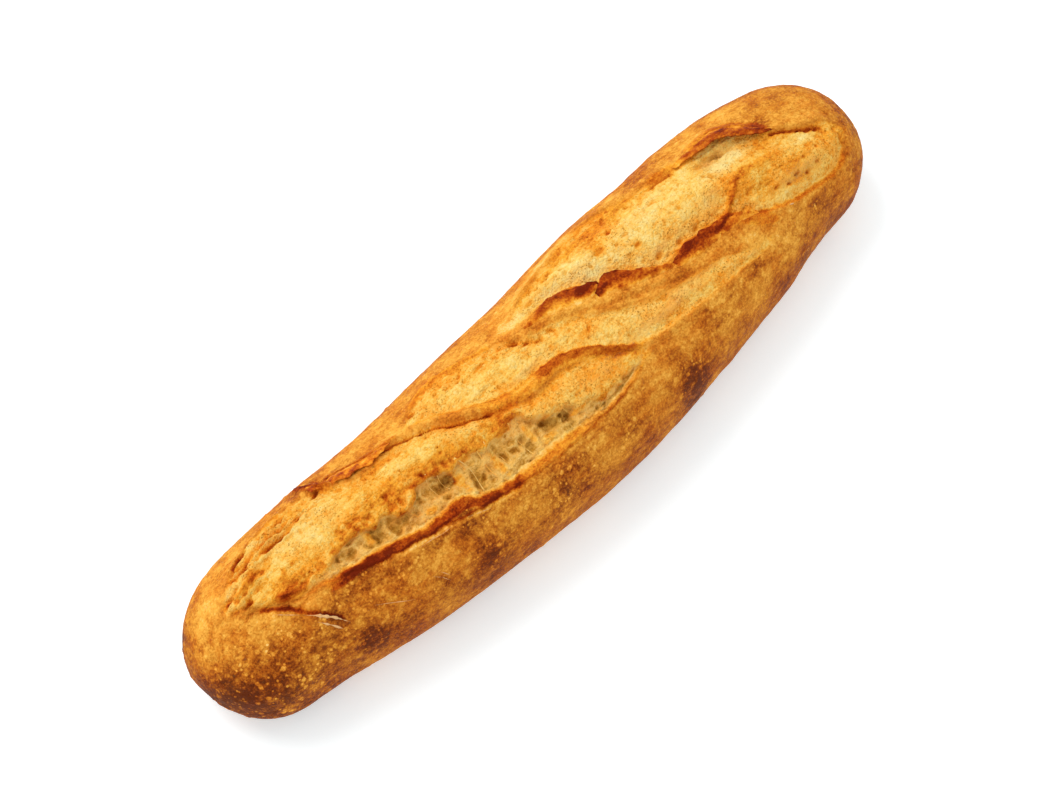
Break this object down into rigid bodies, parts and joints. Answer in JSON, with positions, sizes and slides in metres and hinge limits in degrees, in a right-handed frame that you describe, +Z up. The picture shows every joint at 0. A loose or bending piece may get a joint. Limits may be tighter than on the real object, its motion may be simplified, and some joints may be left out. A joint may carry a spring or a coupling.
{
  "type": "baguette",
  "caption": "Short, wide baguette of crusty bread: a round-topped loaf with a flat underside, blunt tips and long slanting slashes that opened in baking.",
  "frame": {"origin": "under the middle of the loaf's box, in the plane of its flat underside", "axes": "+X along the loaf, +Z up; -Y is the wide flank, beside the longest slash"},
  "size_m": [0.31, 0.0763, 0.0539],
  "materials": {
    "crust": "matt baked crust, golden brown",
    "crumb": "matt torn crumb, pale and open",
    "flour": "matt baked flour, off-white"
  },
  "bodies": {
    "root": {"loaf": "crust"}
  },
  "joints": []
}
